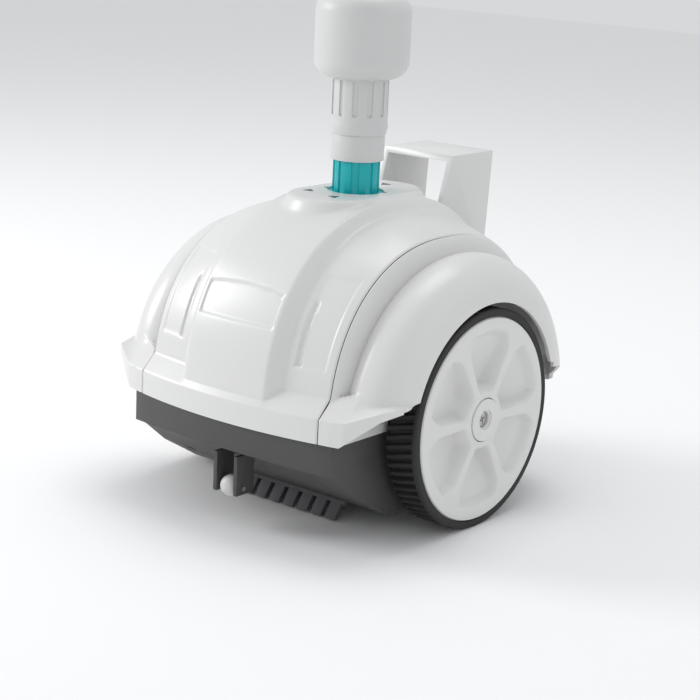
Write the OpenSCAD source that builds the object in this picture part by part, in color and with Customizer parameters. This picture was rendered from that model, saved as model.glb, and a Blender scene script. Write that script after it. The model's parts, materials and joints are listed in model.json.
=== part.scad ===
// Suction-driven wheeled pool cleaner.
// Origin: on the floor, under the middle of the wheel axis. +X to the right wheel, -Y to the front, +Z up.

/* [Body] */
// Distance from the wheel axis to the front and to the back of the body
body_half = 127; // [120:0.5:154]
// Half width of the centre shell, up to the seam with each fender
shell_half = 74; // [68:1:80]
// Height of the dome's crown above the wheel axis
dome_h = 124.5; // [110:0.5:126]
// How much lower the dome's crown is at the seams
crown_drop = 11.5; // [6:0.5:16]
// How much shorter the dome is at the seams, at each end
side_drop = 7.5; // [4:0.5:12]
// How far the skirt stands out in front of the dome at its foot
skirt_out = 9.5; // [8:0.5:12]
// Wall thickness of the shells
wall = 2.5; // [2:0.1:3]
// Height of the upright skirt above the parting line
skirt_h = 15; // [10:1:20]
// Height of the shelf's inner edge above the parting line
shelf_h = 26; // [22:1:34]
// Half width of the raised centre panel
panel_half = 33; // [30:0.5:36]
// How far the centre panel stands proud of the dome
panel_raise = 7; // [5:0.5:8]

/* [Deck and handle] */
// Height of the flat deck above the wheel axis
deck_h = 132; // [126:1:159]
// Half width of the deck
deck_half = 28; // [26:1:32]
// Length of the deck's nose in front of the hose connection
nose_l = 76; // [68:1:84]
// Length of the deck behind the hose connection
deck_back = 52; // [44:1:56]
// Half width of the handle
handle_half = 29; // [26:1:34]
// Height of the handle's top above the wheel axis
handle_h = 152; // [150:1:182]
// Front edge of the handle's top, behind the wheel axis
handle_y = 67; // [62:1:72]
// Depth of the handle's top, front to back
handle_l = 47; // [42:1:56]
// Wall thickness of the handle
handle_wall = 4; // [3:0.5:6]

/* [Chassis] */
// Half width of the chassis
chassis_half = 83; // [78:1:84]
// Wall thickness of the chassis
chassis_wall = 3; // [2.5:0.5:4]
// Clearance between the chassis floor and the pool floor
ground_gap = 14; // [10:1:18]
// Half width of the suction mouth
mouth_half_x = 44; // [36:1:50]
// Half length of the suction mouth, front to back
mouth_half_y = 30; // [24:1:34]

/* [Wheels] */
// Outside diameter of the tyres
tyre_d = 144; // [136:1:173]
// Width of the tyres
tyre_w = 23; // [20:1:24]
// Thickness of the rubber between the rim and the lugs
tyre_t = 5; // [4:0.5:6]
// Number of tread lugs round a tyre
lugs = 72; // [40:1:80]
// Distance from the centre plane to a wheel's outer face
track_half = 114; // [114:1:124]
// Number of spokes in a wheel
spokes = 6; // [5:1:7]
// Radius of the hub caps
cap_r = 14.2; // [12:0.2:17]
// Diameter of the stub axles
axle_d = 8; // [6:0.5:10]
// Radial clearance of every running shaft
run_gap = 0.05; // [0.02:0.01:0.1]

/* [Drive] */
// Tooth size of the gears (pitch diameter divided by teeth)
gear_module = 1; // [1:0.1:1.2]
// Teeth on each turbine pinion and on each idler's small gear
pinion_teeth = 12; // [12:1:12]
// Teeth on each idler's large gear
idler_teeth = 36; // [36:12:36]
// Teeth on each wheel's drive gear
drive_teeth = 48; // [48:12:48]
// Width of the gears
gear_w = 6; // [4:0.5:7]
// Diameter of the turbine shaft
shaft_d = 5; // [4:0.5:6]
// Radius of the turbine's blades
turbine_r = 20; // [17:1:24]
// Width of the turbine
turbine_w = 36; // [28:1:40]
// Number of turbine blades
blades = 8; // [6:1:10]

/* [Hose connection] */
// Radius of the water way
way_r = 12.5; // [10:0.5:13]
// Outside radius of the fluted spigot
spigot_r = 15.5; // [15:0.5:17]
// Height of the fluted part of the spigot
spigot_h = 20; // [16:1:24]
// Outside radius of the swivel collar
collar_r = 17.6; // [17:0.2:19]
// Height of the swivel collar
collar_h = 17; // [14:1:24]
// Outside radius of the hose cuff
cuff_r = 18.6; // [18:0.2:20]
// Length of the hose cuff
cuff_h = 93; // [84:1:112]
// Inside radius of the hose socket in the cuff
socket_r = 16; // [15:0.5:16.5]
// Depth of the hose socket
socket_h = 30; // [24:1:34]
// Outside radius of the float
float_r = 31; // [28:0.5:38]
// Height of the float
float_h = 54; // [46:1:58]
// Height of the float's underside above the cuff's lower end
float_up = 36; // [32:1:42]

/* [Front roller] */
// Radius of the front roller
roller_r = 7; // [6:0.5:8]
// Height of the roller's lowest point above the floor
roller_up = 19; // [16:1:22]
// Diameter of the roller's pin
roller_pin_d = 3; // [2.5:0.5:4]

/* [Hidden] */
$fn = 64;

// Colours
shell_white = [0.9, 0.9, 0.89];
chassis_grey = [0.33, 0.34, 0.35];
tyre_black = [0.07, 0.07, 0.07];
teal = [0, 0.66, 0.67];
gear_white = [0.86, 0.86, 0.82];
steel = [0.72, 0.73, 0.75];

// General values
eps = 0.01;          // overlap that keeps unions and cuts clean
seam_gap = 0.3;      // gap between neighbouring mouldings
move_gap = 0.4;      // gap between a moving piece and a fixed one
axle_h = tyre_d / 2;
panel_edge = panel_half + 8;
seal_t = 1.6;        // thickness of the rubber seals
hub_r = axle_d / 2 + 5;
skirt_bow = 8;       // how far the skirt curves back from the middle to the seam
roundness = 2.3;     // exponent of the dome's profile; 2 is an ellipse
profile_steps = 26;

// The dome, as sections across X. d is the inset of an inner surface.
function bow(x) = pow(x / shell_half, 2);
function raised(x) = abs(x) <= panel_half ? panel_raise :
    abs(x) >= panel_edge ? 0 : panel_raise * (panel_edge - abs(x)) / (panel_edge - panel_half);
function dome_a(x) = body_half - skirt_out - side_drop * bow(x) + raised(x);
function dome_c(x) = dome_h - crown_drop * pow(abs(x) / shell_half, 3) + raised(x);
function skirt_y(x) = body_half - skirt_bow * bow(x);
function superellipse(a, c, t) = [-a * sign(cos(t)) * pow(abs(cos(t)), 2 / roundness), c * pow(sin(t), 2 / roundness)];
function dome_z(x, y) = axle_h + dome_c(x) * pow(1 - pow(abs(y) / dome_a(x), roundness), 1 / roundness);
function shelf_at(x) = abs(x) <= panel_half ? skirt_h + 4 : shelf_h;
function dome_section(x, d) =
    let (a = dome_a(x) - d, c = dome_c(x) - d, low = asin(pow((shelf_at(x) - d) / c, roundness / 2)), s = skirt_y(x) - d)
    concat([[-s, d > 0 ? -1 : 0], [-s, skirt_h - d / 2]],
        [for (i = [0 : profile_steps]) superellipse(a, c, low + (180 - 2 * low) * i / profile_steps)],
        [[s, skirt_h - d / 2], [s, d > 0 ? -1 : 0]]);

// A closed solid through sections, each a list of [x, y, z] points.
// A skin's sections run along the outside and back along the inside, with as many points on each.
module section_loft(rows, skin = false) {
    n = len(rows[0]);
    m = len(rows);
    o = (m - 1) * n;
    sides = [for (i = [0 : m - 2]) for (j = [0 : n - 1])
        let (k = (j + 1) % n) each [[i * n + j, i * n + k, (i + 1) * n + j],
            [i * n + k, (i + 1) * n + k, (i + 1) * n + j]]];
    first = skin ? [for (i = [0 : n / 2 - 2]) [i + 1, i, n - 1 - i, n - 2 - i]] : [[for (j = [n - 1 : -1 : 0]) j]];
    last = skin ? [for (i = [0 : n / 2 - 2]) [o + i, o + i + 1, o + n - 2 - i, o + n - 1 - i]] : [[for (j = [0 : n - 1]) o + j]];
    polyhedron(points = [for (row = rows) each row], faces = concat(sides, first, last));
}
module dome_loft(xs, d) {
    section_loft([for (x = xs) [for (p = dome_section(x, d)) [x, p[0], axle_h + p[1]]]]);
}
// The same dome as a thin skin, open below and at the seams
function skin_section(x) = let (inner = dome_section(x, wall), n = len(inner))
    concat(dome_section(x, 0), [for (i = [n - 1 : -1 : 0]) [inner[i][0], max(0, inner[i][1])]]);
module dome_skin(xs) {
    section_loft([for (x = xs) [for (p = skin_section(x)) [x, p[0], axle_h + p[1]]]], skin = true);
}
half_xs = [11, 22, panel_half, panel_edge, 50, 58, 66];
shell_xs = concat([for (i = [len(half_xs) - 1 : -1 : 0]) -half_xs[i]], [0], half_xs);

module mirror_x(left) {
    if (left) mirror([1, 0, 0]) children();
    else children();
}
// Turns a part drawn along +Z so that it lies along +X at the height and place given
module along_x(x, y, z) {
    translate([x, y, z]) rotate([0, 90, 0]) children();
}

// Deck and nose: a raised oval with drafted sides
deck_draft = 20;
nose_drop = 40;
module deck_solid(d) {
    hull() for (y = [deck_half - nose_l, deck_back - deck_half]) translate([0, y, axle_h + deck_h - d - nose_drop])
        cylinder(h = nose_drop, r1 = deck_half + deck_draft - d, r2 = deck_half - d, $fn = 40);
}

// Screw towers that join the chassis to the shells
tower_x = 62;
tower_y = 84;
tower_r = 5;
screw_r = 1.6;
module at_towers() {
    for (x = [-tower_x, tower_x]) for (y = [-tower_y, tower_y]) translate([x, y, 0]) children();
}

// Bayonet seat in the deck
notch_r = 5;
notch_turn = 25;
flange_r = spigot_r + 3;
seat_depth = 8;
seat_wall = 2;

// Shallow recess for a blank label on the front panel
label_w = 58;
label_h = 20;
label_z = 73;
label_depth = 0.8;
label_lean = 31;
boss_r = flange_r + seat_wall + 1;
module centre_shell() color(shell_white) difference() {
    union() {
        dome_skin(concat([-shell_half], shell_xs, [shell_half]));
        difference() {
            deck_solid(0);
            dome_loft(shell_xs, wall / 2);
        }
        translate([0, 0, axle_h + deck_h - seat_depth - wall]) cylinder(h = seat_depth + wall / 2, r = boss_r);
        for (x = [-tower_x, tower_x]) for (y = [-tower_y, tower_y]) translate([x, y, axle_h])
            cylinder(h = dome_z(tower_x, tower_y + tower_r) - axle_h - wall, r = tower_r);
    }
    at_towers() translate([0, 0, axle_h - 1]) cylinder(h = 19, r = screw_r);
    handle_screw_holes(1.5);
    translate([0, 0, axle_h + deck_h - seat_depth]) cylinder(h = seat_depth + 1, r = flange_r + run_gap);
    translate([0, 0, axle_h + deck_h - seat_depth - wall - 1]) cylinder(h = seat_depth, r = spigot_r + run_gap);
    for (a = [notch_turn, notch_turn + 180]) rotate(a) translate([flange_r, 0, axle_h + deck_h - 2])
        cylinder(h = 3, r = notch_r / 2);
    translate([0, -label_y, axle_h + label_z]) rotate([-label_lean, 0, 0])
        cube([label_w, 2 * label_depth, label_h], center = true);
}
label_y = dome_a(0) * pow(1 - pow(label_z / dome_c(0), roundness), 1 / roundness);

// Fender: one skin round the axle. Each section runs from the seam over a valley and a crest to the lip beside the tyre.
arch_gap = 4.5;
lip_r = tyre_d / 2 + arch_gap;
crest_r = lip_r + 28;
fender_in = shell_half + seam_gap;
fender_out = track_half + 1;
crest_x = fender_out - 25;
valley_x = fender_in + 5;
well_x = crest_x - 2;    // outer face of the plate beside the wheel
well_t = 2;
function seam_r(e) = 1 / pow(pow(cos(e) / dome_a(shell_half), roundness)
    + pow(sin(e) / dome_c(shell_half), roundness), 1 / roundness);
function arch_r(x, e) =
    x <= valley_x ? let (f = (x - fender_in) / (valley_x - fender_in)) seam_r(e) * (1 - f * f) + (crest_r - 4) * f * f :
    x <= crest_x ? crest_r - 4 * pow((crest_x - x) / (crest_x - valley_x), 2) :
    lip_r + (crest_r - lip_r) * pow(max(0, 1 - pow((x - crest_x) / (fender_out - crest_x), 2)), 0.45);
// Flange: [x, outer y, rim height, inner y, inner height], heights from the parting line
front_flange = [[fender_in, 119, 15, 107, 26], [82, 117.5, 15, 102, 29], [91, 115, 15.5, 97, 31],
    [101, 109.5, 20, 88, 29], [110, 104, 24, 80, 27], [fender_out, 88, 25, 72, 25.5]];
rear_flange = [[fender_in, 119, 15, 107, 26], [82, 117.5, 15, 102, 29], [91, 115, 15.5, 97, 31],
    [96, 107, 20, 88, 29], [100, 100, 24, 80, 27], [fender_out, 76, 25, 70, 25.5]];
function column(table, k, x) = lookup(x, [for (c = table) [c[0], c[k]]]);
function flange_r(table, x, e) =
    let (ya = column(table, 1, x), za = column(table, 2, x), yb = column(table, 3, x), zb = column(table, 4, x))
    e <= atan(za / ya) ? ya / cos(e) :
    e <= atan(zb / yb) ? ((yb - ya) * za - (zb - za) * ya) / ((yb - ya) * sin(e) - (zb - za) * cos(e)) : 0;
function skin_r(x, t) = let (e = abs(t < 90 ? t : 180 - t))
    max(arch_r(x, e), flange_r(t < 90 ? rear_flange : front_flange, x, e));
outer_xs = concat([fender_in, fender_in + 2, fender_in + 3.5, valley_x, valley_x + 3.5, valley_x + 7],
    [crest_x, crest_x + 4, crest_x + 8, crest_x + 12, crest_x + 15.5, crest_x + 18.5, crest_x + 21, crest_x + 23],
    [crest_x + 24.4, fender_out]);
plate_r = hub_r + 1.5;
function fender_section(t) = concat(
    [for (x = outer_xs) [x, skin_r(x, t)]],
    [[fender_out, lip_r - 0.3], [fender_out - wall, lip_r - 0.3], [fender_out - wall, lip_r + 1]],
    [for (x = [crest_x + 18.5, crest_x + 12, crest_x + 4, well_x]) [x, skin_r(x, t) - wall]],
    [[well_x, plate_r], [well_x - well_t, plate_r]],
    [for (x = [well_x - well_t, valley_x + 3.5, valley_x - 0.5, fender_in]) [x, skin_r(x, t) - wall]]);
half_ts = [-3, 0, 2, 4, 6, 7.5, 9, 11, 13, 15, 17, 20, 25, 31, 38, 46, 54, 63, 72, 81];
arch_ts = concat(half_ts, [90], [for (i = [len(half_ts) - 1 : -1 : 0]) 180 - half_ts[i]]);
module fender(left) color(shell_white) mirror_x(left) difference() {
    section_loft([for (t = arch_ts) [for (p = fender_section(t)) [p[0], p[1] * cos(t), axle_h + p[1] * sin(t)]]]);
    translate([0, 150, axle_h]) rotate([90, 0, 0]) linear_extrude(300)
        polygon([[fender_in - 1, -9], [fender_in - 1, 0], [well_x + 0.5, 0], [91, 2], [110, 18.5],
            [fender_out + 1, 21.5], [fender_out + 1, -9]]);
}
module left_fender() fender(true);
module right_fender() fender(false);

// Handle: an inverted U, open front to back, standing on the dome
handle_rise = 70;
handle_rake = 18;
module handle() color(shell_white) difference() {
    translate([-handle_half, 0, axle_h + handle_h]) rotate([90, 0, 90]) linear_extrude(2 * handle_half)
        polygon([[handle_y, 0], [handle_y + handle_l, 0], [handle_y + handle_l - 4, -handle_rise],
            [handle_y - handle_rake, -handle_rise + 8]]);
    translate([-handle_half + handle_wall, handle_y - 40, axle_h])
        cube([2 * (handle_half - handle_wall), handle_l + 80, handle_h - handle_wall]);
    dome_loft(concat([-shell_half], shell_xs, [shell_half]), 0);
    deck_solid(0);
    handle_screw_holes(1.5);
}
module at_handle_screws() {
    for (s = [-1, 1]) translate([s * (handle_half - handle_wall / 2), handle_y + 10,
        dome_z(handle_half, handle_y + 10)]) children();
}
module handle_screw_holes(r) {
    at_handle_screws() translate([0, 0, -12]) cylinder(h = 22, r = r);
}

// Chassis: a tub with a slanted underside, the suction mouth and the axle posts
function plan_edge(d, s) = [for (i = [-8 : 8]) let (x = i * (chassis_half - d) / 8)
    [x, s * (skirt_y(x) - 1.5 - d)]];
module plan_outline(d) {
    polygon(concat(plan_edge(d, -1), [for (i = [16 : -1 : 0]) plan_edge(d, 1)[i]]));
}
belly_l = 57;
lip_drop = 17;       // height of the chassis' upright rim
module side_outline(d) {
    f = body_half + 1 - d;
    polygon(concat([[-f, axle_h + 1]], [for (p = [[-f, axle_h - lip_drop], [-f + 18, axle_h - lip_drop - 5 + d],
        [-f + 40, ground_gap + 18 + d], [-belly_l + d, ground_gap + d]]) p],
        [[belly_l - d, ground_gap + d], [f - 40, ground_gap + 18 + d], [f - 18, axle_h - lip_drop - 5 + d],
        [f, axle_h - lip_drop], [f, axle_h + 1]]));
}
module tub(d, top) {
    intersection() {
        translate([0, 0, ground_gap]) linear_extrude(top - ground_gap) plan_outline(d);
        translate([-chassis_half + d, 0, 0]) rotate([90, 0, 90]) linear_extrude(2 * (chassis_half - d)) side_outline(d);
    }
}
post_r = axle_d / 2 + 4;
plate_x = shell_half - 22;      // inner face of the gear plates
module chassis() color(chassis_grey) {
    difference() {
        union() {
            difference() {
                tub(0, axle_h);
                tub(chassis_wall, axle_h + 2);
            }
            for (s = [-1, 1]) intersection() {
                translate([s > 0 ? chassis_half - chassis_wall : -chassis_half, -48, axle_h - 40])
                    cube([chassis_wall, 96, 66]);
                along_x(-100, 0, axle_h) cylinder(h = 200, r = 24);
            }
            intersection() {
                tub(0, axle_h);
                at_towers() cylinder(h = axle_h, r = tower_r);
            }
            for (x = [-8.6, 8.6]) translate([x - 1.4, -front_fork_y - 6, front_roller_z - 4]) cube([2.8, 16, 26]);
        }
        translate([-mouth_half_x, -mouth_half_y, ground_gap - 1]) cube([2 * mouth_half_x, 2 * mouth_half_y, chassis_wall + 2]);
        along_x(-100, 0, axle_h) cylinder(h = 200, r = hub_r + move_gap);
        at_towers() translate([0, 0, -1]) cylinder(h = axle_h + 2, r = screw_r);
        at_towers() cylinder(h = axle_h - shell_screw_l, r = screw_seat_r);
        along_x(-11, -front_fork_y, front_roller_z) cylinder(h = 22, r = roller_pin_d / 2);
        comb_screw_places() translate([0, 0, ground_gap - 1]) cylinder(h = 8, r = screw_r);
    }
}
shell_screw_l = 22;  // length of the shell screws below the parting line
screw_seat_r = 3.4;
front_fork_y = 112;
front_roller_z = roller_up + roller_r;
comb_y = 50;
comb_half = 48;
module comb_screw_places() {
    for (x = [-36, 0, 36]) for (s = [-1, 1]) translate([x, s * (comb_y - 6), 0]) children();
}

// Suction path: mouth, throat, turbine housing, riser
throat_x = 20;
throat_front = 20;
throat_back = 8;
throat_top = axle_h + 12;
throat_wall = 2;
module throat_shape(d) {
    hull() {
        translate([-mouth_half_x - 4 + d, -mouth_half_y - 4 + d, ground_gap + chassis_wall - (d > 0 ? eps : 0)])
            cube([2 * (mouth_half_x + 4 - d), 2 * (mouth_half_y + 4 - d), 2]);
        translate([-throat_x - throat_wall + d, -throat_front - throat_wall + d, throat_top - 2 + (d > 0 ? eps : 0)])
            cube([2 * (throat_x + throat_wall - d), throat_front + throat_back + 2 * (throat_wall - d), 2]);
    }
}
module intake_throat() color(gear_white) difference() {
    throat_shape(0);
    throat_shape(throat_wall);
}

idler_angle = 110;
pinion_angle = 20;
drive_dist = gear_module * (drive_teeth + pinion_teeth) / 2;
idler_dist = gear_module * (idler_teeth + pinion_teeth) / 2;
idler_y = drive_dist * cos(idler_angle);
idler_z = axle_h + drive_dist * sin(idler_angle);
turbine_y = idler_y + idler_dist * cos(pinion_angle);
turbine_z = idler_z + idler_dist * sin(pinion_angle);
housing_half = turbine_w / 2 + 4;
housing_top = turbine_z + turbine_r + 8;
module turbine_housing() color(chassis_grey) difference() {
    union() {
        along_x(-housing_half, turbine_y, turbine_z) cylinder(h = 2 * housing_half, r = turbine_r + 4);
        translate([-housing_half, -throat_front - throat_wall, throat_top])
            cube([2 * housing_half, throat_front + throat_back + 2 * throat_wall, housing_top - throat_top]);
    }
    along_x(-housing_half + 2, turbine_y, turbine_z) cylinder(h = 2 * housing_half - 4, r = turbine_r + 1.5);
    translate([-throat_x, -throat_front, throat_top - 1])
        cube([2 * throat_x, throat_front + throat_back, turbine_z - throat_top + 1]);
    translate([0, 0, turbine_z]) cylinder(h = 60, r = way_r);
    along_x(-housing_half - 1, turbine_y, turbine_z) cylinder(h = 2 * housing_half + 2, r = bush_r);
}
bush_r = shaft_d / 2 + 1.5;
riser_top = axle_h + deck_h - seat_depth - wall - seal_t;
module riser() color(gear_white) difference() {
    translate([0, 0, housing_top]) cylinder(h = riser_top - housing_top, r = way_r + 2);
    translate([0, 0, housing_top - 1]) cylinder(h = riser_top - housing_top + 2, r = way_r);
}

// Gear plates carry the stub axles, the idler pins and the ends of the turbine shaft
plate_t = 3;
module gear_plate(left) color(chassis_grey) mirror_x(left) difference() {
    translate([plate_x - plate_t, 0, 0]) rotate([90, 0, 90]) linear_extrude(plate_t) difference() {
        union() {
            translate([-38, ground_gap + chassis_wall]) square([76, axle_h - ground_gap]);
            translate([turbine_y, turbine_z]) circle(r = 12);
            translate([0, axle_h]) circle(r = 38);
        }
        translate([0, axle_h]) circle(r = axle_d / 2);
        translate([turbine_y, turbine_z]) circle(r = bush_r);
        translate([idler_y, idler_z]) circle(r = pin_r);
    }
}
module left_gear_plate() gear_plate(true);
module right_gear_plate() gear_plate(false);

// Gears with straight-sided teeth
module gear_2d(teeth) {
    pitch_r = gear_module * teeth / 2;
    root_r = pitch_r - 1.2 * gear_module;
    tip_r = pitch_r + 0.8 * gear_module;
    pitch = 360 / teeth;
    circle(r = root_r);
    for (i = [0 : teeth - 1]) rotate(i * pitch)
        polygon([[root_r - 0.5, -0.85 * gear_module], [root_r, -0.85 * gear_module], [tip_r, -0.3 * gear_module],
            [tip_r, 0.3 * gear_module], [root_r, 0.85 * gear_module], [root_r - 0.5, 0.85 * gear_module]]);
}
// angle is measured from +Y towards +Z, and a tooth points that way
module gear_x(x, y, z, w, teeth, angle) {
    translate([x, y, z]) rotate([90, 0, 90]) linear_extrude(w) rotate(angle) gear_2d(teeth);
}
stage_1 = plate_x + 2;
stage_2 = stage_1 + gear_w + 1;
pin_r = 2;
module pinion(left) color(gear_white) mirror_x(left) difference() {
    gear_x(stage_1, turbine_y, turbine_z, gear_w, pinion_teeth, pinion_angle + 180 + 180 / pinion_teeth);
    along_x(0, turbine_y, turbine_z) cylinder(h = 100, r = shaft_d / 2);
}
module left_pinion() pinion(true);
module right_pinion() pinion(false);
module idler_gear(left) color(gear_white) mirror_x(left) difference() {
    union() {
        gear_x(stage_1, idler_y, idler_z, gear_w, idler_teeth, pinion_angle);
        gear_x(stage_1 + gear_w - eps, idler_y, idler_z, gear_w + 1, pinion_teeth, idler_angle + 180 + 180 / pinion_teeth);
    }
    along_x(0, idler_y, idler_z) cylinder(h = 100, r = pin_r + run_gap);
}
module left_idler_gear() idler_gear(true);
module right_idler_gear() idler_gear(false);
module drive_gear(left) color(gear_white) mirror_x(left) difference() {
    gear_x(stage_2, 0, axle_h, gear_w, drive_teeth, idler_angle);
    along_x(0, 0, axle_h) cylinder(h = 100, r = hub_r);
}
module left_drive_gear() drive_gear(true);
module right_drive_gear() drive_gear(false);
module idler_pins() color(steel) for (s = [false, true]) mirror_x(s)
    along_x(plate_x - plate_t, idler_y, idler_z) cylinder(h = plate_t + 2 * gear_w + 6, r = pin_r);

// Turbine and its shaft
shaft_half = stage_1 + gear_w;
module turbine() color(teal) translate([-turbine_w / 2, turbine_y, turbine_z]) rotate([90, 0, 90])
    linear_extrude(turbine_w) difference() {
        union() {
            circle(r = 6);
            for (i = [0 : blades - 1]) rotate(360 * i / blades) translate([5, -0.9]) square([turbine_r - 5, 1.8]);
        }
        circle(r = shaft_d / 2);
    }
module turbine_shaft() color(steel)
    along_x(-shaft_half, turbine_y, turbine_z) cylinder(h = 2 * shaft_half, r = shaft_d / 2);
module shaft_bushes() color(gear_white) for (s = [false, true]) mirror_x(s) {
    for (x = [housing_half - 2, plate_x - plate_t]) difference() {
        along_x(x, turbine_y, turbine_z) cylinder(h = x > housing_half ? plate_t : 2, r = bush_r);
        along_x(x - 1, turbine_y, turbine_z) cylinder(h = plate_t + 2, r = shaft_d / 2 + run_gap);
    }
}

// Wheels
rim_r = tyre_d / 2 - tyre_t;
disc_t = 4;
wheel_in = track_half - tyre_w - 1;
pocket_depth = 8;
module pocket_2d() {
    inner = cap_r + 6;
    outer = rim_r - 7;
    half = 180 / spokes;
    offset(r = 3) offset(delta = -3) polygon([[inner * cos(half - 10), inner * sin(-half + 14)],
        [outer * cos(half - 9), -outer * sin(half - 9)], [outer, -outer * sin(half - 9) / 2.2],
        [outer, outer * sin(half - 9) / 2.2], [outer * cos(half - 9), outer * sin(half - 9)],
        [inner * cos(half - 10), inner * sin(half - 14)]]);
}
module wheel(left) color(shell_white) mirror_x(left) difference() {
    union() {
        along_x(wheel_in, 0, axle_h) cylinder(h = track_half - wheel_in, r = rim_r);
        along_x(stage_2, 0, axle_h) cylinder(h = track_half - stage_2, r = hub_r);
    }
    along_x(wheel_in - 1, 0, axle_h) difference() {
        cylinder(h = tyre_w - pocket_depth - disc_t + 2, r = rim_r - 3);
        translate([0, 0, -1]) cylinder(h = tyre_w, r = hub_r);
    }
    for (i = [0 : spokes - 1]) translate([track_half - pocket_depth, 0, axle_h]) rotate([90, 0, 90])
        rotate(360 * (i + 0.5) / spokes) linear_extrude(pocket_depth + 1) pocket_2d();
    along_x(0, 0, axle_h) cylinder(h = 200, r = axle_d / 2 + run_gap);
    along_x(track_half - 6, 0, axle_h) cylinder(h = 7, r = cap_r - 2);
}
module left_wheel() wheel(true);
module right_wheel() wheel(false);
lug_h = 2.5;
lug_share = 0.6;     // share of the pitch that a lug takes
side_band = 3;       // width of the plain band at the outer side
tyre_out = track_half - 1;
module tyre_2d(r) {
    difference() {
        union() {
            circle(r = r - lug_h);
            for (i = [0 : lugs - 1]) rotate(360 * i / lugs)
                translate([rim_r + 1, -lug_share * PI * r / lugs]) square([r - rim_r - 1.1, 2 * lug_share * PI * r / lugs]);
        }
        circle(r = rim_r);
    }
}
module tyre(left) color(tyre_black) mirror_x(left) {
    translate([tyre_out - tyre_w, 0, axle_h]) rotate([90, 0, 90]) linear_extrude(tyre_w - side_band + eps) tyre_2d(tyre_d / 2);
    along_x(tyre_out - side_band, 0, axle_h) difference() {
        cylinder(h = side_band, r = tyre_d / 2);
        translate([0, 0, -1]) cylinder(h = side_band + 2, r = rim_r);
    }
}
module left_tyre() tyre(true);
module right_tyre() tyre(false);
cap_out = 6;
module hub_cap(left) color(shell_white) mirror_x(left) difference() {
    union() {
        along_x(track_half - 6, 0, axle_h) cylinder(h = 6, r = cap_r - 2);
        along_x(track_half, 0, axle_h) cylinder(h = cap_out - 1, r = cap_r);
        along_x(track_half + cap_out - 1, 0, axle_h) cylinder(h = 1, r1 = cap_r, r2 = cap_r - 1);
    }
    along_x(track_half - 7, 0, axle_h) cylinder(h = 20, r = screw_head_r + move_gap);
}
module left_hub_cap() hub_cap(true);
module right_hub_cap() hub_cap(false);
screw_head_r = 5;
axle_end = track_half - 5;
module stub_axle(left) color(steel) mirror_x(left) difference() {
    along_x(plate_x - plate_t, 0, axle_h) cylinder(h = axle_end - plate_x + plate_t, r = axle_d / 2);
    along_x(axle_end - 12, 0, axle_h) cylinder(h = 13, r = screw_r);
}
module left_axle() stub_axle(true);
module right_axle() stub_axle(false);
module axle_screws() color(steel) for (s = [false, true]) mirror_x(s) difference() {
    union() {
        along_x(axle_end - 11, 0, axle_h) cylinder(h = 11, r = screw_r);
        along_x(axle_end, 0, axle_h) cylinder(h = 3, r = screw_head_r);
    }
    for (a = [0, 90]) translate([axle_end + 2, 0, axle_h]) rotate([a + 20, 0, 0]) translate([0, -0.5, -3]) cube([3, 1, 6]);
}

// Hose connection: bayonet spigot, swivel collar, cuff and float
deck_z = axle_h + deck_h;
flutes = 10;
module spigot() color(teal) difference() {
    union() {
        translate([0, 0, deck_z - seat_depth]) cylinder(h = seat_depth - 1, r = flange_r);
        translate([0, 0, deck_z - seat_depth - wall]) cylinder(h = seat_depth + wall + spigot_h, r = spigot_r - 1);
        translate([0, 0, deck_z - 0.5]) linear_extrude(spigot_h + 0.5) {
            circle(r = spigot_r - 1);
            for (i = [0 : flutes - 1]) rotate(360 * i / flutes) translate([spigot_r - 4, -2.2]) square([3.8, 4.4]);
        }
        translate([0, 0, deck_z + spigot_h]) cylinder(h = collar_h + 6, r = swivel_r);
        translate([0, 0, deck_z + spigot_h + collar_h + 2 * move_gap]) cylinder(h = 1.5, r = swivel_r + bead);
    }
    translate([0, 0, deck_z - 30]) cylinder(h = 100, r = way_r);
    translate([0, 0, deck_z + spigot_h + 8 - seal_t / 2 - move_gap / 2]) difference() {
        cylinder(h = seal_t + move_gap, r = swivel_r + 1);
        translate([0, 0, -1]) cylinder(h = seal_t + 2, r = swivel_r - seal_t);
    }
}
swivel_r = way_r + 2.2;
bead = 0.5;          // height of the snap bead that keeps the collar on the spigot
module ring(z, r) {
    translate([0, 0, z]) rotate_extrude() translate([r, 0]) circle(r = seal_t / 2);
}
module spigot_seal() color(tyre_black) ring(deck_z - seat_depth - wall - seal_t / 2, way_r + 1);
module collar_seal() color(tyre_black) ring(deck_z + spigot_h + 8, swivel_r - seal_t / 2);
collar_z = deck_z + spigot_h + move_gap;
module swivel_collar() color(shell_white) difference() {
    translate([0, 0, collar_z]) cylinder(h = collar_h, r = collar_r);
    translate([0, 0, collar_z - 1]) cylinder(h = collar_h + 2, r = swivel_r + run_gap);
}
cuff_z = collar_z + collar_h;
cuff_flutes = 12;
module hose_cuff() color(shell_white) difference() {
    union() {
        translate([0, 0, cuff_z]) cylinder(h = 5, r1 = collar_r + 0.4, r2 = cuff_r + 0.6);
        translate([0, 0, cuff_z + 5]) cylinder(h = 4, r1 = cuff_r + 0.6, r2 = cuff_r);
        translate([0, 0, cuff_z + 9]) cylinder(h = cuff_h - 9, r = cuff_r);
    }
    translate([0, 0, cuff_z - 1]) cylinder(h = 8, r = swivel_r + bead + move_gap);
    translate([0, 0, cuff_z + 6]) cylinder(h = cuff_h, r = way_r);
    translate([0, 0, cuff_z + cuff_h - socket_h]) cylinder(h = socket_h + 1, r = socket_r);
    for (i = [0 : cuff_flutes - 1]) rotate(360 * i / cuff_flutes) {
        translate([cuff_r - 1, -2, cuff_z + 14]) cube([3, 4, float_up - 15]);
        translate([cuff_r - 1, 0, cuff_z + 14]) rotate([0, 90, 0]) cylinder(h = 3, r = 2);
    }
}
float_corner = 12;
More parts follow.
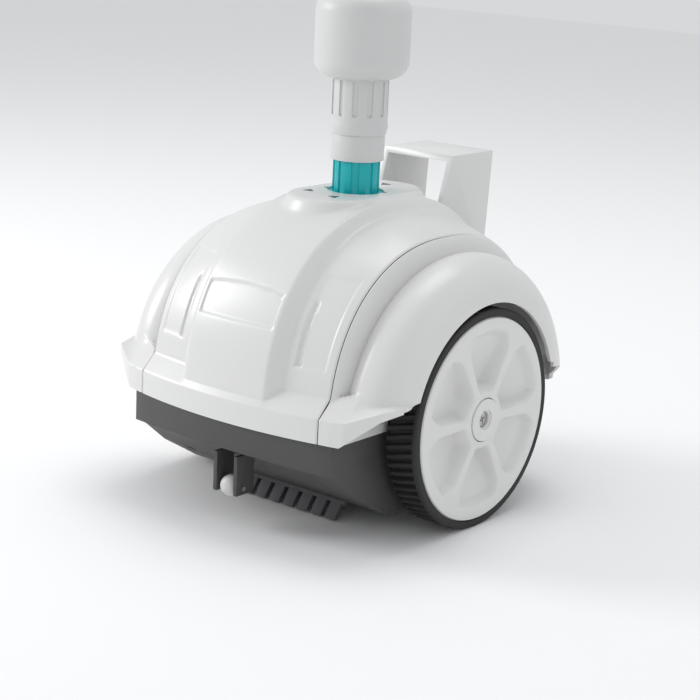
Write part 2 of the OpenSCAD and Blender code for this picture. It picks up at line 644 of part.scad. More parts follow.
module float() color(shell_white) translate([0, 0, cuff_z + float_up]) rotate_extrude() difference() {
    union() {
        translate([0, float_corner]) square([float_r, float_h - 2 * float_corner]);
        square([float_r - float_corner, float_h]);
        for (z = [float_corner, float_h - float_corner]) translate([float_r - float_corner, z]) circle(r = float_corner);
    }
    translate([-float_r, -1]) square([float_r + cuff_r, float_h + 2]);
    translate([-2 * float_r, -1]) square([2 * float_r, float_h + 2]);
}

// Front roller and its pin
module front_roller() color(shell_white) difference() {
    intersection() {
        translate([0, -front_fork_y, front_roller_z]) sphere(r = roller_r);
        along_x(-6.6, -front_fork_y, front_roller_z) cylinder(h = 13.2, r = roller_r);
    }
    along_x(-10, -front_fork_y, front_roller_z) cylinder(h = 20, r = roller_pin_d / 2 + run_gap);
}
module roller_pin() color(steel) along_x(-11, -front_fork_y, front_roller_z) cylinder(h = 22, r = roller_pin_d / 2);

// Combs in front of and behind the mouth: slanted rubber teeth that stand on the floor
comb_bar = 3;        // thickness of the combs' fixing bar
tip_gap = 1;         // gap between the comb's tips and the floor
tooth_pitch = 12;
tooth_w = 8.5;
module comb(s) color(chassis_grey) difference() {
    union() {
        translate([-comb_half, s * (comb_y - 2) - 8, ground_gap - comb_bar]) cube([2 * comb_half, 16, comb_bar]);
        for (x = [-comb_half : tooth_pitch : comb_half - tooth_w]) translate([x, s * comb_y, 0])
            rotate([90, 0, 90]) linear_extrude(tooth_w)
                polygon([[s * -1, ground_gap - comb_bar + eps], [s * 5, ground_gap - comb_bar + eps],
                    [s * 12, tip_gap], [s * 9, tip_gap]]);
    }
    comb_screw_places() cylinder(h = ground_gap + 1, r = screw_r);
}
module front_comb() comb(-1);
module rear_comb() comb(1);

// Fasteners
module pan_screw(length) {
    cylinder(h = length, r = screw_r);
    translate([0, 0, -1.6]) cylinder(h = 1.6, r = 2.8);
}
module comb_screws() color(steel) comb_screw_places() translate([0, 0, ground_gap - comb_bar])
    pan_screw(comb_bar + chassis_wall);
module shell_screws() color(steel) at_towers() translate([0, 0, axle_h - shell_screw_l]) pan_screw(shell_screw_l + 18);
module handle_screws() color(steel) at_handle_screws() translate([0, 0, -8]) cylinder(h = 18, r = 1.5);

chassis();
centre_shell();
left_fender();
right_fender();
handle();
intake_throat();
turbine_housing();
riser();
left_gear_plate();
right_gear_plate();
turbine();
turbine_shaft();
left_pinion();
right_pinion();
shaft_bushes();
left_idler_gear();
right_idler_gear();
idler_pins();
left_drive_gear();
right_drive_gear();
left_axle();
right_axle();
left_wheel();
right_wheel();
left_tyre();
right_tyre();
left_hub_cap();
right_hub_cap();
axle_screws();
spigot();
spigot_seal();
swivel_collar();
collar_seal();
hose_cuff();
float();
front_roller();
roller_pin();
front_comb();
rear_comb();
comb_screws();
shell_screws();
handle_screws();
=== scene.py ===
import json
import math

import bpy
import numpy as np
from mathutils import Matrix, Vector

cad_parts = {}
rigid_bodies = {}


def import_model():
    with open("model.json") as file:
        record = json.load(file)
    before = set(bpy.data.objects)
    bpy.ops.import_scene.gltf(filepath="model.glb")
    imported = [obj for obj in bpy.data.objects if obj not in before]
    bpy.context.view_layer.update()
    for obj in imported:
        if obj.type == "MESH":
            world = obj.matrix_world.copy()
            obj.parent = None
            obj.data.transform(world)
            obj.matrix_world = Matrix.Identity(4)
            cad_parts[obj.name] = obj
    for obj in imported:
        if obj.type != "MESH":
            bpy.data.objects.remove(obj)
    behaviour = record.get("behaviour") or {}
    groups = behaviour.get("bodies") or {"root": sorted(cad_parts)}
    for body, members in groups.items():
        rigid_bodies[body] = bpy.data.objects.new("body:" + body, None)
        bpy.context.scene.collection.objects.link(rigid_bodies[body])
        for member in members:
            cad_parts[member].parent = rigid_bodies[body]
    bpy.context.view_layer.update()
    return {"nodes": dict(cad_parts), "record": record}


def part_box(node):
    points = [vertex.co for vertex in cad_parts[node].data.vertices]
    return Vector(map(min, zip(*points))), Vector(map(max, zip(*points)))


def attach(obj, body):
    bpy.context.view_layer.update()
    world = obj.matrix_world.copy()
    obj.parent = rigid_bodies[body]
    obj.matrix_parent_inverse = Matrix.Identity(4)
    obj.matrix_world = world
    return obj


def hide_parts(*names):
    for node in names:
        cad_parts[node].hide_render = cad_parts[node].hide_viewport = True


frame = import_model()

MM = 0.001

# ---------------------------------------------------------------- sizes, in millimetres, from the frame
low, high = (Vector(c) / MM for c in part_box("centre_shell"))
axle_z = low.z
seam_x = high.x
skirt_y0 = high.y
deck_h = high.z - axle_z
tyre_low, tyre_high = (Vector(c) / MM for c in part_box("right_tyre"))
tyre_r = (tyre_high.z - tyre_low.z) / 2
wheel_low, wheel_high = (Vector(c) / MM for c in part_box("right_wheel"))
rim_r = (wheel_high.y - wheel_low.y) / 2
track = wheel_high.x
fender_low, fender_high = (Vector(c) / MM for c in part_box("right_fender"))
fender_in, fender_out = fender_low.x, fender_high.x

# Dome
skirt_out = 9.5       # how far the skirt stands out past the dome
side_drop = 7.5       # how much nearer the dome is at the seams
skirt_bow = 8.0       # how far the skirt curves back at the seams
panel_half = 33.0     # half the width of the raised front panel
panel_edge = 41.0     # where the panel's slope meets the dome
panel_raise = 7.0
dome_top = 124.5
crown_drop = 11.5     # how much lower the dome is at the seams
roundness = 2.3       # 2 is an ellipse, more is squarer
skirt_h = 15.0
shelf_h = 26.0
wall = 2.5
deck_half = 28.0      # half the width of the flat deck
nose_y = -48.0        # centre of the deck's rounded front end
deck_back = 24.0      # centre of its rounded back end
deck_slope = 2.0      # fall of its sides for each millimetre out
deck_round = 1.6      # softness of the deck's edge
foot_round = 2.0      # softness where its sides meet the dome
edge_round = 0.7      # rounding of the shells along the seams
edge_width = 0.9

# Sunk shapes on the dome, in x and height
label_half = 29.6
label_foot, label_head, label_arch = 61.5, 81.0, 2.5
label_sink = 1.1
side_near, side_far = 45.5, 69.0
side_foot, side_head = 40.0, 95.0
side_sink = 0.55
slit_x = 48.8
slit_foot, slit_head = 41.0, 81.0
slit_sink = 1.3


def smooth(a, b, x):
    """0 below a, 1 above b, and a soft step between."""
    t = np.clip((x - a) / (b - a), 0, 1)
    return t * t * (3 - 2 * t)


def soft_max(a, b, k):
    """The larger of a and b, rounded where they cross; soft_min is its opposite."""
    return (a + b + np.sqrt((a - b) ** 2 + k * k)) / 2


def soft_min(a, b, k):
    return (a + b - np.sqrt((a - b) ** 2 + k * k)) / 2


# ---------------------------------------------------------------- modelling helpers
def clear():
    if bpy.context.object and bpy.context.object.mode != "OBJECT":
        bpy.ops.object.mode_set(mode="OBJECT")
    bpy.ops.object.select_all(action="DESELECT")


def pick(*objs):
    clear()
    for o in objs:
        o.select_set(True)
    bpy.context.view_layer.objects.active = objs[0]


def settle(obj):
    """Puts the object's place, turn and scale into its mesh."""
    pick(obj)
    bpy.ops.object.transform_apply(location=True, rotation=True, scale=True)
    return obj


def apply_modifier(obj, kind, **settings):
    mod = obj.modifiers.new(kind.title(), kind)
    for key, value in settings.items():
        setattr(mod, key, value)
    pick(obj)
    bpy.ops.object.modifier_apply(modifier=mod.name)


def shade(obj, angle=32):
    pick(obj)
    bpy.ops.object.shade_smooth_by_angle(angle=math.radians(angle))


def outward(obj):
    pick(obj)
    bpy.ops.object.mode_set(mode="EDIT")
    bpy.ops.mesh.select_all(action="SELECT")
    bpy.ops.mesh.remove_doubles(threshold=1e-6)
    bpy.ops.mesh.normals_make_consistent(inside=False)
    bpy.ops.object.mode_set(mode="OBJECT")


def surface(name, across, along, place, closed=False):
    """A grid whose points go to place(u, v), u and v from 0 to 1; closed joins the first row to the last."""
    clear()
    bpy.ops.mesh.primitive_grid_add(x_subdivisions=across, y_subdivisions=along, size=1)
    obj = bpy.context.object
    obj.name = name
    count = len(obj.data.vertices)
    co = np.empty(count * 3)
    obj.data.vertices.foreach_get("co", co)
    co = co.reshape(-1, 3)
    points = place(co[:, 0] + 0.5, co[:, 1] + 0.5)
    xyz = np.stack(np.broadcast_arrays(*points), axis=1) * MM
    obj.data.vertices.foreach_set("co", xyz.ravel())
    obj.data.update()
    if closed:
        outward(obj)
    return obj


def thicken(obj, thickness, outside=False):
    side = 1 if outside else -1
    apply_modifier(obj, "SOLIDIFY", thickness=thickness * MM, offset=side, use_even_offset=False)


def cut(obj, *tools):
    for tool in tools:
        apply_modifier(obj, "BOOLEAN", operation="DIFFERENCE", object=tool, solver="EXACT")
        bpy.data.objects.remove(tool)


def rod(name, radius, length, centre, axis="Z", sides=64):
    clear()
    turn = {"X": (0, math.pi / 2, 0), "Y": (math.pi / 2, 0, 0), "Z": (0, 0, 0)}[axis]
    bpy.ops.mesh.primitive_cylinder_add(vertices=sides, radius=radius * MM, depth=length * MM,
                                        location=[c * MM for c in centre], rotation=turn)
    bpy.context.object.name = name
    return settle(bpy.context.object)


def join(name, *objs):
    pick(*objs)
    bpy.ops.object.join()
    bpy.context.object.name = name
    return bpy.context.object


def twin(obj, name):
    """The same piece on the other side of the centre plane, with its own mesh."""
    copy = obj.copy()
    copy.data = obj.data.copy()
    copy.name = name
    bpy.context.collection.objects.link(copy)
    copy.data.transform(Matrix.Scale(-1, 4, (1, 0, 0)))
    copy.data.flip_normals()
    return copy


def dressed(node, width):
    """A copy of a CAD node with its loose triangles merged and its edges rounded; it stands for the node."""
    source = frame["nodes"][node]
    copy = source.copy()
    copy.data = source.data.copy()
    copy.name = node + "_piece"
    bpy.context.collection.objects.link(copy)
    pick(copy)
    bpy.ops.object.parent_clear(type="CLEAR_KEEP_TRANSFORM")
    settle(copy)
    bpy.ops.mesh.customdata_custom_splitnormals_clear()
    bpy.ops.object.mode_set(mode="EDIT")
    bpy.ops.mesh.select_all(action="SELECT")
    bpy.ops.mesh.remove_doubles(threshold=2e-6)
    bpy.ops.mesh.dissolve_limited(angle_limit=math.radians(1))
    bpy.ops.object.mode_set(mode="OBJECT")
    if width:
        apply_modifier(copy, "BEVEL", width=width * MM, segments=2, limit_method="ANGLE",
                       angle_limit=math.radians(30), harden_normals=False)
    shade(copy)
    return copy


def finish_piece(obj, body, material, slot, *nodes):
    """Gives the piece its material and the body it rides on, and hides the nodes it stands for; slot is not
    used.
    """
    obj.data.materials.clear()
    obj.data.materials.append(material)
    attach(obj, body)
    if nodes:
        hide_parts(*nodes)
    return obj


# ---------------------------------------------------------------- materials
class Value:
    """Wraps a number socket, so that shader maths reads as an expression."""

    def __init__(self, build, socket):
        self.build, self.socket = build, socket

    def _math(self, operation, *values):
        socket = self.build.node("ShaderNodeMath", {"operation": operation}, dict(enumerate(values)))
        return Value(self.build, socket)

    def __add__(self, other):
        return self._math("ADD", self, other)

    def __radd__(self, other):
        return self._math("ADD", other, self)

    def __sub__(self, other):
        return self._math("SUBTRACT", self, other)

    def __rsub__(self, other):
        return self._math("SUBTRACT", other, self)

    def __mul__(self, other):
        return self._math("MULTIPLY", self, other)

    def __rmul__(self, other):
        return self._math("MULTIPLY", other, self)

    def clamp(self):
        return self._math("MAXIMUM", self._math("MINIMUM", self, 1.0), 0.0)


class Finish:
    """One material, built node by node round its Principled BSDF."""

    def __init__(self, name):
        self.material = bpy.data.materials.new(name)
        self.material.use_nodes = True
        self.tree = self.material.node_tree
        self.shader = self.tree.nodes["Principled BSDF"]
        self.place = self.node("ShaderNodeTexCoord", {}, {}, "Object")

    def node(self, kind, settings, values, output=0):
        node = self.tree.nodes.new(kind)
        for key, value in settings.items():
            setattr(node, key, value)
        for key, value in values.items():
            self.feed(node.inputs[key], value)
        return node.outputs[output]

    def feed(self, socket, value):
        value = value.socket if isinstance(value, Value) else value
        if isinstance(value, bpy.types.NodeSocket):
            self.tree.links.new(value, socket)
        else:
            socket.default_value = value

    def noise(self, scale, detail=3.0, stretch=(1, 1, 1)):
        where = self.node("ShaderNodeMapping", {}, {"Vector": self.place, "Scale": stretch})
        values = {"Vector": where, "Scale": scale, "Detail": detail}
        return Value(self, self.node("ShaderNodeTexNoise", {}, values, "Fac"))

    def mix(self, share, a, b):
        """Blends two colours; sockets 0, 6, 7 and output 2 are the node's colour ones."""
        return self.node("ShaderNodeMix", {"data_type": "RGBA"}, {0: share, 6: (*a, 1), 7: (*b, 1)}, 2)

    def bump(self, height, strength, distance):
        values = {"Strength": strength, "Distance": distance, "Height": height}
        self.feed(self.shader.inputs["Normal"], self.node("ShaderNodeBump", {}, values))

    def set(self, **values):
        for key, value in values.items():
            self.feed(self.shader.inputs[key.replace("_", " ")], value)
        return self


def plastic(name, colour, second, roughness, spread, grain=1400, depth=0.00006, coat=0.0):
    """Moulded plastic: a slow drift of colour and gloss from the mould, and a fine grain."""
    f = Finish(name)
    slow, fine = f.noise(18, 2), f.noise(grain, 2)
    gloss = roughness + (slow - 0.5) * spread + (fine - 0.5) * spread * 0.6
    f.set(Base_Color=f.mix((slow * 0.7 + fine * 0.3).clamp(), colour, second), Roughness=gloss.clamp())
    f.set(Coat_Weight=coat, Coat_Roughness=0.2)
    f.bump(fine, 0.25, depth)
    return f.material


def rubber(name, colour, dusty):
    """Rubber: dull, with a worn bloom that gathers in patches."""
    f = Finish(name)
    patch, fine = f.noise(40, 4), f.noise(900, 3)
    bloom = ((patch - 0.42) * 3.0).clamp() * fine
    f.set(Base_Color=f.mix(bloom, colour, dusty), Roughness=(0.62 + bloom * 0.25).clamp())
    f.bump(fine, 0.35, 0.0001)
    return f.material


def metal(name, colour):
    """Turned stainless: fine streaks in the roughness."""
    f = Finish(name)
    streak, spot = f.noise(900, 2, (0.1, 1, 1)), f.noise(60, 2)
    darker = tuple(c * 0.82 for c in colour)
    f.set(Base_Color=f.mix(spot, colour, darker), Roughness=(0.22 + streak * 0.25).clamp(), Metallic=1.0)
    f.bump(streak, 0.1, 0.00004)
    return f.material


shell_plastic = plastic("satin white shell plastic",
                        (0.73, 0.73, 0.72), (0.70, 0.70, 0.69), 0.34, 0.10, coat=0.15)
wheel_plastic = plastic("cool white wheel plastic",
                        (0.76, 0.76, 0.75), (0.73, 0.73, 0.72), 0.42, 0.10)
fitting_plastic = plastic("white fitting plastic",
                          (0.66, 0.66, 0.655), (0.62, 0.62, 0.615), 0.42, 0.10)
inner_plastic = plastic("natural gear plastic",
                        (0.70, 0.69, 0.64), (0.64, 0.63, 0.58), 0.5, 0.1)
chassis_plastic = plastic("grained grey chassis plastic",
                          (0.072, 0.072, 0.073), (0.055, 0.055, 0.056), 0.5, 0.16, 1700, 0.00018)
comb_rubber = rubber("soft grey comb rubber", (0.085, 0.085, 0.09), (0.13, 0.13, 0.13))
tyre_rubber = rubber("black tyre rubber", (0.013, 0.013, 0.014), (0.035, 0.035, 0.035))
seal_rubber = rubber("black seal rubber", (0.015, 0.015, 0.015), (0.03, 0.03, 0.03))
teal_plastic = plastic("glossy teal plastic",
                       (0.0, 0.42, 0.45), (0.0, 0.47, 0.50), 0.28, 0.08)
stainless = metal("turned stainless steel", (0.62, 0.62, 0.61))
mark_ink = plastic("grey moulded mark",
                   (0.09, 0.09, 0.09), (0.06, 0.06, 0.06), 0.6, 0.1)

FINISH = {"shell_white": shell_plastic, "wheel_white": wheel_plastic, "fitting_white": fitting_plastic,
          "inner_white": inner_plastic, "chassis_grey": chassis_plastic, "comb_grey": comb_rubber,
          "tyre_black": tyre_rubber, "seal_black": seal_rubber, "teal": teal_plastic, "steel": stainless}
for part in frame["record"]["subparts"]:
    node = frame["nodes"][part["node"]]
    for place in node.material_slots:
        place.material = FINISH[part["material_slot"]]


# ---------------------------------------------------------------- centre shell
def raised(x):
    return panel_raise * (1 - smooth(panel_half - 0.5, panel_edge, np.abs(x)))


def bow(x):
    return (x / seam_x) ** 2


def dome_a(x):
    return skirt_y0 - skirt_out - side_drop * bow(x) + raised(x)


def dome_c(x):
    return dome_top - crown_drop * (np.abs(x) / seam_x) ** 3 + raised(x)


def between(a, b, soft, x):
    """1 from a to b and 0 outside, with steps as wide as soft inside them."""
    return smooth(a, a + soft, x) * (1 - smooth(b - soft, b, x))


def deck_height(x, y):
    """Height of the deck and its sloping sides above the parting line."""
    off = np.hypot(x, y - np.clip(y, nose_y, deck_back))
    return soft_min(deck_h, deck_h - deck_slope * (off - deck_half), deck_round)


def sunk(x, h, front):
    """How far the shell's face is sunk: the blank label recess, the side panels and their slits."""
    out = np.abs(x)
    arch = label_arch * (1 - (x / 30) ** 2)
    label = (1 - smooth(label_half, label_half + 1, out)) * smooth(label_foot, label_foot + 1.2, h)
    label = label * (1 - smooth(label_head, label_head + 1.2, h - arch))
    side = between(side_near, side_far, 1.5, out) * between(side_foot, side_head, 3, h)
    taper = 0.9 + 1.1 * (80 - h) / 40
    slit = 1 - smooth(taper, taper + 0.9, np.abs(out - slit_x))
    slit = slit * smooth(slit_foot, slit_foot + 2, h) * (1 - smooth(slit_head - 3, slit_head, h))
    return front * (label_sink * label + side_sink * side + slit_sink * slit)


def shell_place(u, v):
    """One section of the centre shell at each x: skirt, shelf, dome, and the same again behind."""
    spread = 0.43 * math.pi      # closer columns towards the seams
    x = seam_x * np.sin((2 * u - 1) * spread) / math.sin(spread)
    skirt = skirt_y0 - skirt_bow * bow(x)
    shelf = shelf_h - (shelf_h - skirt_h - 4) * (1 - smooth(panel_half, panel_edge, np.abs(x)))
    a = dome_a(x)
    c = dome_c(x)
    start = np.arcsin((shelf / c) ** (roundness / 2))
    side = np.where(v < 0.5, -1, 1)
    w = 1 - np.abs(2 * v - 1)
    skirt_end = 0.07             # the share of the rows on the skirt
    shelf_end = 0.15             # and on the skirt and shelf together
    t = start + (math.pi / 2 - start) * np.clip((w - shelf_end) / (1 - shelf_end), 0, 1)
    arc_y = a * np.abs(np.cos(t)) ** (2 / roundness)
    arc_h = c * np.sin(t) ** (2 / roundness)
    foot_y = a * np.cos(start) ** (2 / roundness)
    s = np.clip((w - skirt_end) / (shelf_end - skirt_end), 0, 1)
    upper_y = np.where(w < shelf_end, skirt + (foot_y - skirt) * s, arc_y)
    upper_h = np.where(w < shelf_end, skirt_h + (shelf - skirt_h) * s, arc_h)
    y = np.where(w < skirt_end, skirt, upper_y)
    h = np.where(w < skirt_end, skirt_h * w / skirt_end, upper_h)
    depth = sunk(x, h, side < 0)
    h = np.where(w >= shelf_end, soft_max(h, deck_height(x, y), foot_round), h)
    slope = np.arctan2(arc_h * 1.1, arc_y + 1e-6)
    inward = depth + edge_round * smooth(seam_x - edge_width, seam_x, np.abs(x))
    y = y - inward * np.cos(slope)
    h = h - inward * np.sin(slope) * (w > shelf_end)
    return x, side * y, axle_z + np.minimum(h, deck_h)


shell = surface("centre_shell_piece", 151, 301, shell_place)
thicken(shell, wall)
outward(shell)
seat_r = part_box("spigot")[1][0] / MM + 0.2
notches = [rod("notch", 2.6, 5, (seat_r * math.cos(t), seat_r * math.sin(t), axle_z + deck_h), sides=24)
           for t in (math.radians(25), math.radians(205))]
cut(shell, rod("seat", seat_r, 40, (0, 0, axle_z + deck_h - 6), sides=96), *notches)
shade(shell, 40)
finish_piece(shell, "body", shell_plastic, "shell_white", "centre_shell")

# Arrow marks moulded on the deck
mark_r = 4.2
mark_deep = 0.8
mark_z = axle_z + deck_h - 0.2
for k, (x, y, turn) in enumerate([(-17, -27, 25), (9, -33, -15), (-2, 34, 180)]):
    clear()
    bpy.ops.mesh.primitive_cylinder_add(vertices=3, radius=mark_r * MM, depth=mark_deep * MM,
                                        location=(x * MM, y * MM, mark_z * MM),
                                        rotation=(0, 0, math.radians(turn)))
    mark = settle(bpy.context.object)
    mark.name = f"arrow_mark_{k + 1}"
    apply_modifier(mark, "BEVEL", width=0.12 * MM, segments=2, limit_method="ANGLE")
    finish_piece(mark, "body", mark_ink, "shell_white")

# ---------------------------------------------------------------- fenders
arch_gap = 4.5                 # from the tyre to the arch's lip
arch_rise = 28.0               # from the lip up to the bulge's crest
arch_dip = 4.0                 # the valley between the bulge and the dome
lip_r = tyre_r + arch_gap
crest_r = lip_r + arch_rise
crest_x = fender_out - 25
valley_x = fender_in + 5

# Flanges, in rows of x, then y and height of the flange's outer edge, then of its root on the arch
FRONT = np.array([[fender_in, 119, 15, 107, 26], [82, 117.5, 15, 102, 29], [91, 115, 15.5, 97, 31],
                  [101, 109.5, 20, 88, 29], [110, 104, 24, 80, 27], [fender_out, 88, 25, 72, 25.5]])
REAR = np.array([[fender_in, 119, 15, 107, 26], [82, 117.5, 15, 102, 29], [91, 115, 15.5, 97, 31],
                 [96, 107, 20, 88, 29], [100, 100, 24, 80, 27], [fender_out, 76, 25, 70, 25.5]])


def arch_r(x, e):
    """Radius of the arch about the axle, e being the angle up from the parting line."""
    seam = 1 / ((np.cos(e) / (skirt_y0 - skirt_out - side_drop)) ** roundness
                + (np.sin(e) / (dome_top - crown_drop)) ** roundness) ** (1 / roundness)
    f = np.clip((x - fender_in) / (valley_x - fender_in), 0, 1)
    inner = seam * (1 - f * f) + (crest_r - arch_dip) * f * f
    middle = crest_r - arch_dip * np.clip((crest_x - x) / (crest_x - valley_x), 0, 1) ** 2
    fall = np.clip(1 - ((x - crest_x) / (fender_out - crest_x)) ** 2, 0, 1) ** 0.45
    outer = lip_r + arch_rise * fall
    return np.where(x <= valley_x, inner, np.where(x <= crest_x, middle, outer))


def flange_r(table, x, e):
    """Radius of a flange about the axle: an upright rim, then a straight slope to its root."""
    ya, za, yb, zb = (np.interp(x, table[:, 0], table[:, k]) for k in (1, 2, 3, 4))
    slope = ((yb - ya) * za - (zb - za) * ya) / ((yb - ya) * np.sin(e) - (zb - za) * np.cos(e))
    low_e, high_e = np.arctan2(za, ya), np.arctan2(zb, yb)
    return np.where(e <= low_e, ya / np.cos(e), np.where(e <= high_e, slope, 0))


def skin_r(x, t):
    """Radius of the fender's outside, t running from the rear over the top to the front."""
    e = np.minimum(t, math.pi - t)
    flange = np.where(t < math.pi / 2, flange_r(REAR, x, e), flange_r(FRONT, x, e))
    return soft_max(arch_r(x, e), np.maximum(flange, 30), 1.5) - 0.3


# Height of the fender's lower edge, which climbs towards the outside
EDGE_X = np.array([0, 88.5, 91, 110, fender_out])
EDGE_Z = np.array([0, 0, 2, 18.5, 21.5])


def low_angle(x, rear):
    """The angle at which the fender's skin meets its lower edge."""
    table = REAR if rear else FRONT
    angle = np.zeros_like(x)
    for _ in range(6):
        reach = np.maximum(arch_r(x, angle), flange_r(table, x, angle))
        angle = np.arcsin(np.clip(np.interp(x, EDGE_X, EDGE_Z) / reach, 0, 0.9))
    return angle


def fender_place(u, v):
    """The fender's skin, with closer rows at the seam, the outside and the two ends."""
    span = fender_out - fender_in
    outer = 0.7 + 0.3 * np.sin((u - 0.7) / 0.3 * math.pi / 2)
    middle = 0.2 + (u - 0.3) / 0.4 * 0.5
    x = fender_in + span * np.where(u < 0.3, u / 0.3 * 0.2, np.where(u < 0.7, middle, outer))
    bend = v - 0.16 * np.sin(2 * math.pi * v) / 2
    first = low_angle(x, True)
    last = math.pi - low_angle(x, False)
    t = first + (last - first) * bend
    edge = edge_round * (1 - smooth(fender_in, fender_in + edge_width, x))
    r = skin_r(x, t) - edge
    return x, r * np.cos(t), axle_z + r * np.sin(t)


well_x = 86.5
well_hole_r = 12


def plate_place(u, v):
    """The flat plate behind the wheel, from the axle out to the skin."""
    t = math.pi * v
    outer = skin_r(np.full_like(t, well_x + 0.5), t) - 1.2
    r = well_hole_r + (outer - well_hole_r) * u
    return well_x, r * np.cos(t), axle_z + r * np.sin(t)


fender = surface("skin", 70, 241, fender_place)
thicken(fender, wall, outside=True)
for point in fender.data.vertices:
    point.co.x = max(point.co.x, fender_in * MM)
outward(fender)
plate = surface("plate", 6, 121, plate_place)
thicken(plate, 1.5)
outward(plate)
right_fender = join("right_fender_piece", fender, plate)
shade(right_fender, 38)
left_fender = twin(right_fender, "left_fender_piece")
finish_piece(right_fender, "body", shell_plastic, "shell_white", "right_fender")
finish_piece(left_fender, "body", shell_plastic, "shell_white", "left_fender")

# ---------------------------------------------------------------- wheels
spokes = 6
disc_face = track
disc_wall = 2.2
rim_round = 1.0
spoke_turn = 0.03      # how far the spokes are turned back, in radians
spoke_half = 2.0       # half the width of a spoke near the hub
spoke_flare = 0.045    # what that gains for each millimetre out
spoke_foot = 5.5       # and what it gains where it runs into the rim
pocket_in = 17.5
pocket_out = 59.5
pocket_depth = 11.0
side_slope = 4.5       # width of a pocket's sloping side
floor_rise = 0.45      # the share of its depth that the floor gains towards the rim
seat = 14.5            # radius of the hub cap's seat
hub_r = 9.0
hub_end = track - 8
bore_r = 4.05
wheel_rim_in = tyre_low.x


def disc_place(u, v):
    """From the cap's seat out over spokes and pockets to the rim, then back along the rim's outside."""
    theta = 2 * math.pi * v
    reach = 0.86       # the share of the rows that is on the face
    r = np.where(u < reach, seat + (rim_r - rim_round - seat) * u / reach, rim_r)
    half = math.pi / spokes
    off = np.abs((theta + spoke_turn) % (2 * half) - half) * r
    from_spoke = half * r - off
    spoke = spoke_half + spoke_flare * (r - 20) + spoke_foot * smooth(46, 60, r)
    side_wall = smooth(0, side_slope, from_spoke - spoke)
    ends = smooth(pocket_in, pocket_in + 7, r) * (1 - smooth(pocket_out - 6.5, pocket_out, r))
    tilt = 1.0 - floor_rise * smooth(24, 56, r)
    depth = pocket_depth * side_wall * ends * tilt
    lip = 0.5 * smooth(rim_r - 3.5, rim_r - rim_round, r)
    rim_face = disc_face - rim_round
    back = rim_face - (rim_face - wheel_rim_in) * (u - reach) / (1 - reach)
    x = np.where(u < reach, disc_face - depth - lip, back)
    return x, r * np.cos(theta), axle_z + r * np.sin(theta)


disc = surface("disc", 84, 721, disc_place, closed=True)
thicken(disc, disc_wall)
outward(disc)
hub = rod("hub", hub_r, hub_end - wheel_low.x, (0.5 * (hub_end + wheel_low.x), 0, axle_z), "X")
flange = rod("flange", seat + 1.5, 2.5, (hub_end + 0.5, 0, axle_z), "X", 96)
for solid in (hub, flange):
    cut(solid, rod("bore", bore_r, 80, (90, 0, axle_z), "X", 48))
right_disc = join("right_wheel_piece", disc, hub, flange)
shade(right_disc, 35)
left_disc = twin(right_disc, "left_wheel_piece")
finish_piece(right_disc, "right_wheel_set", wheel_plastic, "wheel_white", "right_wheel")
finish_piece(left_disc, "left_wheel_set", wheel_plastic, "wheel_white", "left_wheel")

# Hub caps: a flat round cap just proud of the disc, with a sunk seat for the screw
cap_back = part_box("right_hub_cap")[0][0] / MM
cap_face = track + 1.0
cap_centre = (0.5 * (cap_back + cap_face), 0, axle_z)
cap = rod("right_hub_cap_piece", seat - 0.6, cap_face - cap_back, cap_centre, "X", 128)
cut(cap, rod("screw hole", 5.4, 30, (track, 0, axle_z), "X"),
    rod("screw seat", 6.6, 4, (cap_face + 0.6, 0, axle_z), "X"))
apply_modifier(cap, "BEVEL", width=0.5 * MM, segments=3, limit_method="ANGLE",
               angle_limit=math.radians(40))
shade(cap)
left_cap = twin(cap, "left_hub_cap_piece")
finish_piece(cap, "right_wheel_set", wheel_plastic, "wheel_white", "right_hub_cap")
finish_piece(left_cap, "left_wheel_set", wheel_plastic, "wheel_white", "left_hub_cap")

# Tyres: slanted lugs between a plain outer band and the inner side
lugs = 72
lug_depth = 2.6
lug_end = 0.70         # the share of the pitch that a lug fills, with its slopes
tyre_wall = 0.9
points_per_lug = 12
lug_slant = 0.95       # how many lugs a lug leans over from side to side
band = 3.0
tyre_in = tyre_low.x
tyre_out = tyre_high.x
band_in = tyre_out - band

# The section's corners, in rows of how far round it they are, their x and their radius
SECTION = np.array([[0, tyre_out, rim_r], [0.10, tyre_out, tyre_r - 1.0], [0.13, tyre_out - 0.8, tyre_r],
                    [0.24, band_in, tyre_r], [0.27, band_in - 0.8, tyre_r - 0.1],
                    [0.62, tyre_in + 0.6, tyre_r - 0.2], [0.70, tyre_in, tyre_r - 1.5],
                    [1.0, tyre_in, rim_r]])


def tyre_place(u, v):
    """Round the tyre's section: up the outer side, across the slanted lugs and down the inner side."""
    width = tyre_out - tyre_in
    x = np.interp(u, SECTION[:, 0], SECTION[:, 1])
    r = np.interp(u, SECTION[:, 0], SECTION[:, 2])
    theta = 2 * math.pi * v
    turn = (theta * lugs / (2 * math.pi) + lug_slant * (x - tyre_in) / width) % 1.0
    rib = smooth(0.0, 0.16, turn) * (1 - smooth(0.52, lug_end, turn))
    tread = smooth(tyre_r - 1.6, tyre_r - 0.3, r) * (x < band_in + 0.01)
    r = r - lug_depth * (1 - rib) * tread
    return x, r * np.cos(theta), axle_z + r * np.sin(theta)


tyre = surface("right_tyre_piece", 40, lugs * points_per_lug + 1, tyre_place, closed=True)
thicken(tyre, tyre_wall)
for point in tyre.data.vertices:
    point.co.x = min(max(point.co.x, tyre_in * MM), tyre_out * MM)
outward(tyre)
shade(tyre, 40)
left_tyre = twin(tyre, "left_tyre_piece")
finish_piece(tyre, "right_wheel_set", tyre_rubber, "tyre_black", "right_tyre")
finish_piece(left_tyre, "left_wheel_set", tyre_rubber, "tyre_black", "left_tyre")

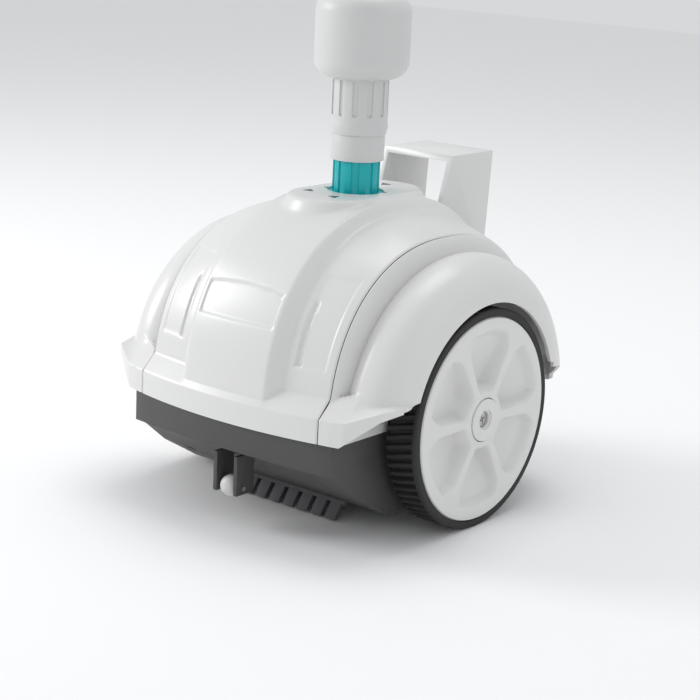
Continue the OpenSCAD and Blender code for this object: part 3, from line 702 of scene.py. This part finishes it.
# ---------------------------------------------------------------- CAD shapes with rounded edges
ROUNDED = [
    ("chassis", 1.2, "body", "chassis_grey"),
    ("handle", 1.0, "body", "shell_white"),
    ("swivel_collar", 0.5, "hose_swivel", "fitting_white"),
    ("hose_cuff", 0.45, "hose_swivel", "fitting_white"),
    ("spigot", 0.4, "body", "teal"),
    ("float", 0.0, "hose_swivel", "fitting_white"),
    ("front_roller", 0.4, "roller", "fitting_white"),
    ("front_comb", 0.5, "body", "comb_grey"),
    ("rear_comb", 0.5, "body", "comb_grey"),
    ("axle_screws", 0.15, "body", "steel"),
]
for node, width, body, slot in ROUNDED:
    finish_piece(dressed(node, width), body, FINISH[slot], slot, node)

# ---------------------------------------------------------------- floor, light and camera
clear()
bpy.ops.mesh.primitive_plane_add(size=8, location=(0, 0, 0))
floor = bpy.context.object
floor.name = "floor"
paper = Finish("pale paper")
paper.set(Base_Color=(0.93, 0.93, 0.93, 1), Roughness=0.9)
floor.data.materials.append(paper.material)

world = bpy.data.worlds.new("soft room")
bpy.context.scene.world = world
world.use_nodes = True
world.node_tree.nodes["Background"].inputs["Color"].default_value = (0.97, 0.98, 1.0, 1)
world.node_tree.nodes["Background"].inputs["Strength"].default_value = 0.70


def lamp(name, place, aim, size, power):
    light = bpy.data.lights.new(name, "AREA")
    light.shape, light.size, light.energy = "SQUARE", size, power
    obj = bpy.data.objects.new(name, light)
    bpy.context.collection.objects.link(obj)
    obj.location = place
    obj.rotation_euler = (Vector(aim) - Vector(place)).to_track_quat("-Z", "Y").to_euler()


# Lamps: places and aims in metres, then size and power
lamp("key from the front left", (-1.5, -0.9, 0.9), (0, 0, 0.12), 0.7, 15)
lamp("top", (0.0, 0.5, 1.9), (0, 0, 0.1), 1.0, 8.5)
lamp("fill from the right", (1.6, 0.2, 0.8), (0, 0, 0.12), 1.0, 1)

# Camera: its place in millimetres, and how far it is turned, tipped down and rolled, in radians
camera_data = bpy.data.cameras.new("camera")
camera_data.lens = 92.57
camera_data.sensor_width = 36
camera_place = Vector((728.578, -915.005, 400.690)) * MM
camera = bpy.data.objects.new("camera", camera_data)
bpy.context.collection.objects.link(camera)
turn = 0.67117748
pitch = 0.25550372
roll = -0.04808924
right = Vector((math.cos(turn), math.sin(turn), 0))
ahead = Vector((-math.sin(turn) * math.cos(pitch), math.cos(turn) * math.cos(pitch), -math.sin(pitch)))
up = right.cross(ahead)
side_axis = right * math.cos(roll) - up * math.sin(roll)
up_axis = up * math.cos(roll) + right * math.sin(roll)
camera_turn = Matrix((side_axis, up_axis, -ahead)).transposed().to_4x4()
camera.matrix_world = Matrix.Translation(camera_place) @ camera_turn
bpy.context.scene.camera = camera
bpy.context.scene.view_settings.view_transform = "Standard"
